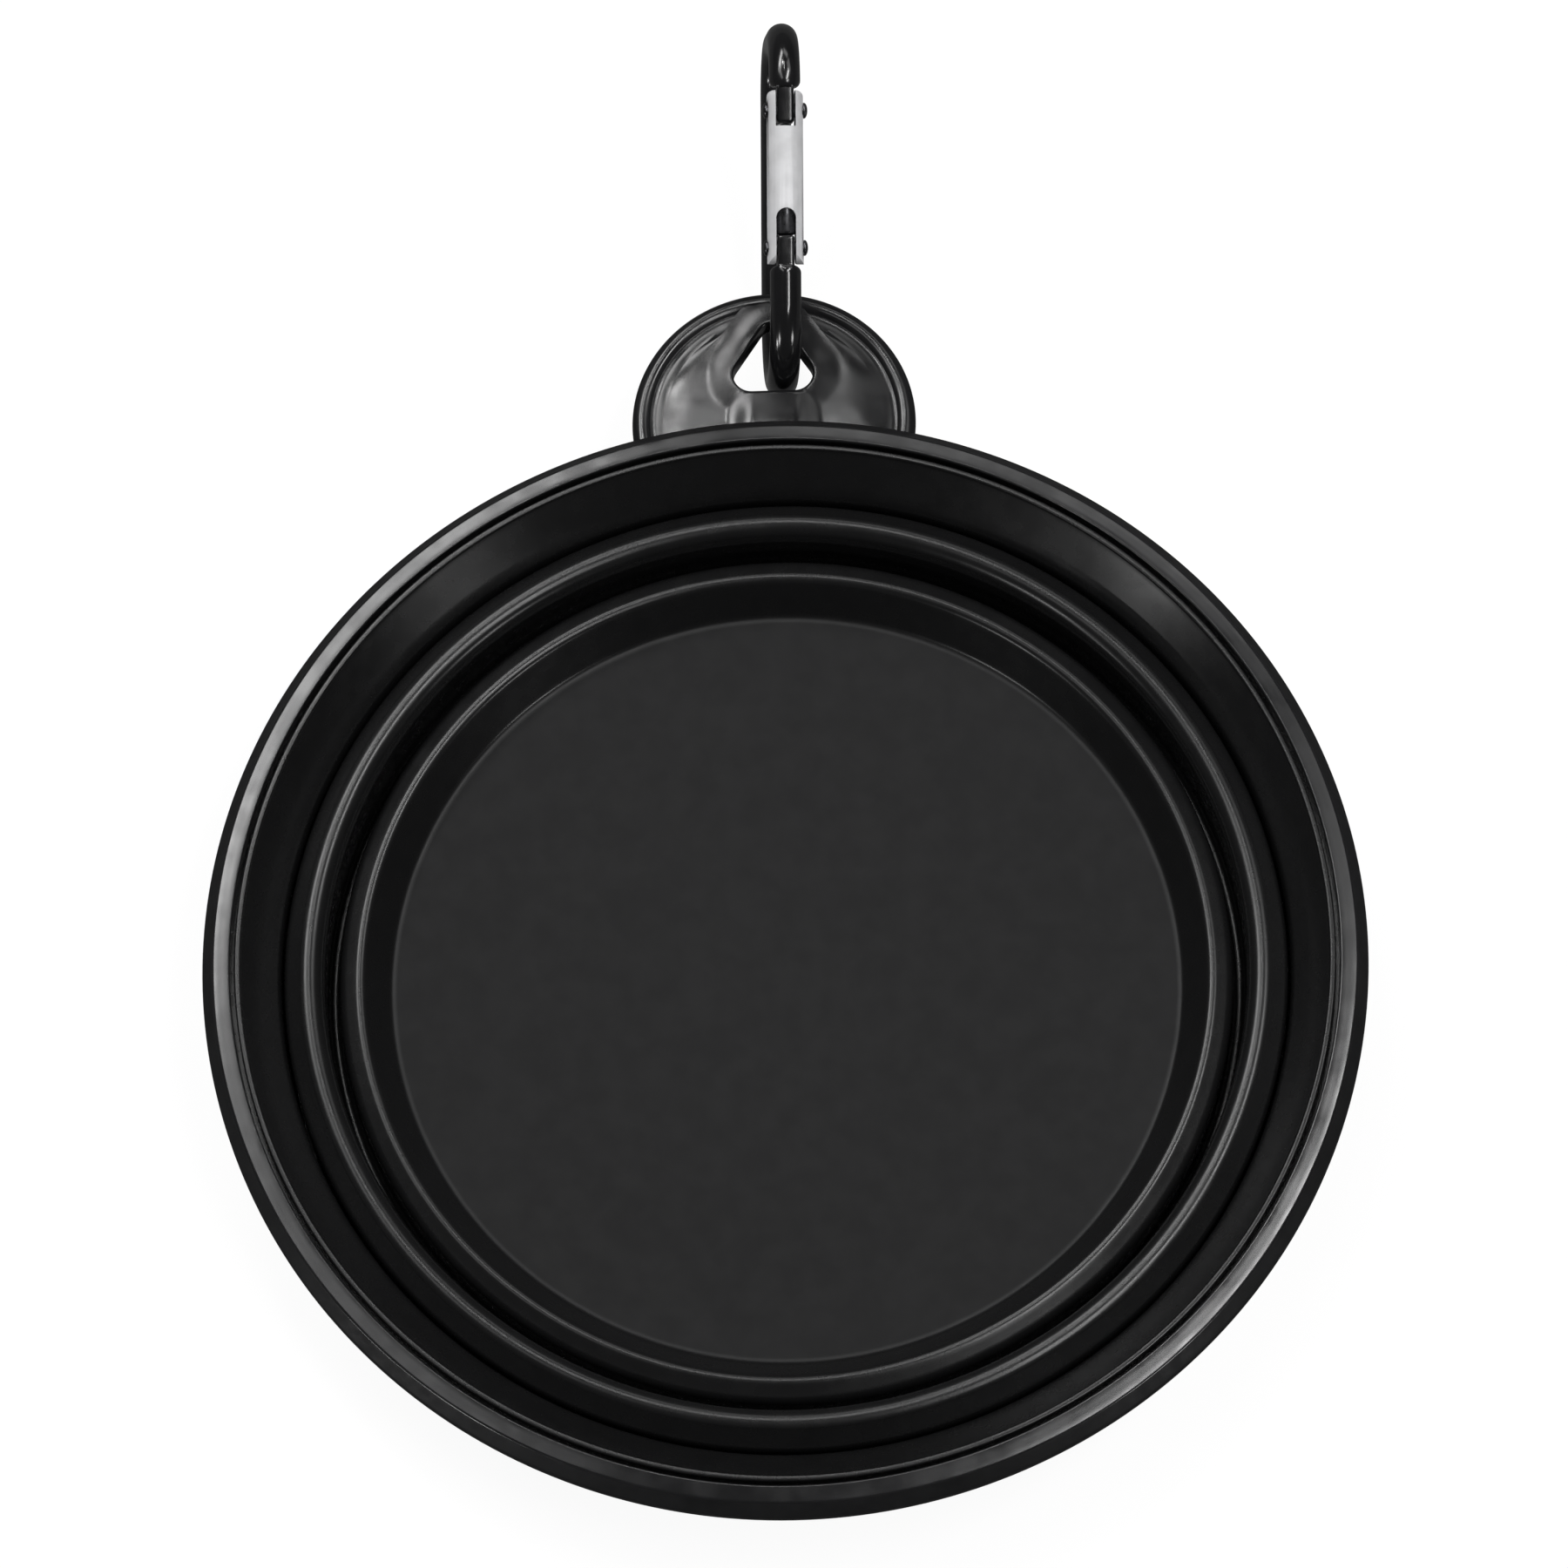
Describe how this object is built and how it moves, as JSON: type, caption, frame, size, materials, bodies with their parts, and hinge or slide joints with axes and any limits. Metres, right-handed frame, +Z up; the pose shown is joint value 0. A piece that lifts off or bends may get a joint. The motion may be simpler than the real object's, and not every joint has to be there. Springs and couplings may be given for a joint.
{
  "type": "collapsible silicone bowl",
  "caption": "Black silicone bowl folded flat in nested tiers, with a hard rim frame, a hanging tab and a snap clip through its hole.",
  "frame": {"origin": "centre of the foot ring's underside, on the table that the folded bowl stands on", "axes": "+Z up through the bowl's mouth, +Y from the bowl's centre towards the hanging tab and its clip, +X to the right in the picture"},
  "size_m": [0.13, 0.1772, 0.0313],
  "materials": {
    "rim_frame": "satin black moulded plastic",
    "silicone": "satin black silicone",
    "clip_body": "black anodised",
    "clip_gate": "satin silver",
    "pins": "dark steel",
    "spring_wire": "drawn wire"
  },
  "bodies": {
    "base": {"silicone_base_cup": "silicone", "silicone_lower_fold": "silicone"},
    "middle": {"silicone_middle_wall": "silicone", "silicone_upper_fold": "silicone"},
    "rim": {"rim_frame": "rim_frame", "silicone_upper_wall": "silicone"},
    "clip": {"clip_body": "clip_body"},
    "gate": {"clip_gate": "clip_gate", "gate_hinge_pin": "pins", "gate_latch_pin": "pins", "gate_spring": "spring_wire"},
    "plunger": {"spring_plunger": "pins"}
  },
  "joints": [
    {"name": "lower_tier_unfold", "type": "slide", "parent": "base", "child": "middle", "axis": [0, 0, 1], "range_m": [0, 0.0143], "deforming": ["silicone_lower_fold"]},
    {"name": "upper_tier_unfold", "type": "slide", "parent": "middle", "child": "rim", "axis": [0, 0, 1], "range_m": [0, 0.0212], "deforming": ["silicone_upper_fold"]},
    {"name": "clip_swing", "type": "hinge", "parent": "rim", "child": "clip", "pos_m": [0.0011, 0.07992, 0.012], "axis": [0.9967, 0.0098, -0.0809], "range_deg": [-105, 65]},
    {"name": "gate_open", "type": "hinge", "parent": "clip", "child": "gate", "pos_m": [0.0019, 0.08305, 0.02217], "axis": [-0.9967, -0.0098, 0.0809], "range_deg": [0, 35], "stiffness_Nm_per_rad": 0.01, "springref_deg": -28.65},
    {"name": "plunger_slide", "type": "slide", "parent": "gate", "child": "plunger", "axis": [0.0211, 0.9282, 0.3714], "range_m": [0, 0.00055], "deforming": ["gate_spring"]}
  ],
  "couplings": [
    {"joint": "plunger_slide", "follows": "gate_open", "m_per_rad": 0.0009003}
  ]
}
